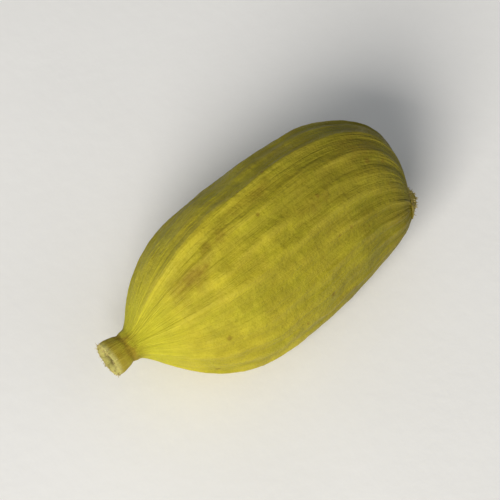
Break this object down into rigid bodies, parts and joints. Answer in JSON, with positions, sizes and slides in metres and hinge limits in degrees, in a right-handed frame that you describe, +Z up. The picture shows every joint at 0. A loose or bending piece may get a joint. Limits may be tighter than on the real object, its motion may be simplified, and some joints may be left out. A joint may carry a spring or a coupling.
{
  "type": "green cardamom pod",
  "caption": "Whole dried spice pod: a blunt spindle of rounded triangular section with lengthwise ribs, a cut stalk stub and a small beak, lying on its side.",
  "frame": {"origin": "middle of the pod's bounding box, at the height of the surface that it lies on", "axes": "+X along the pod from the cut stalk to the beak, +Z up from the flat spot that it rests on"},
  "size_m": [0.0148, 0.0074, 0.0066],
  "materials": {
    "husk": "matte"
  },
  "bodies": {
    "root": {"cardamom_pod": "husk"}
  },
  "joints": []
}
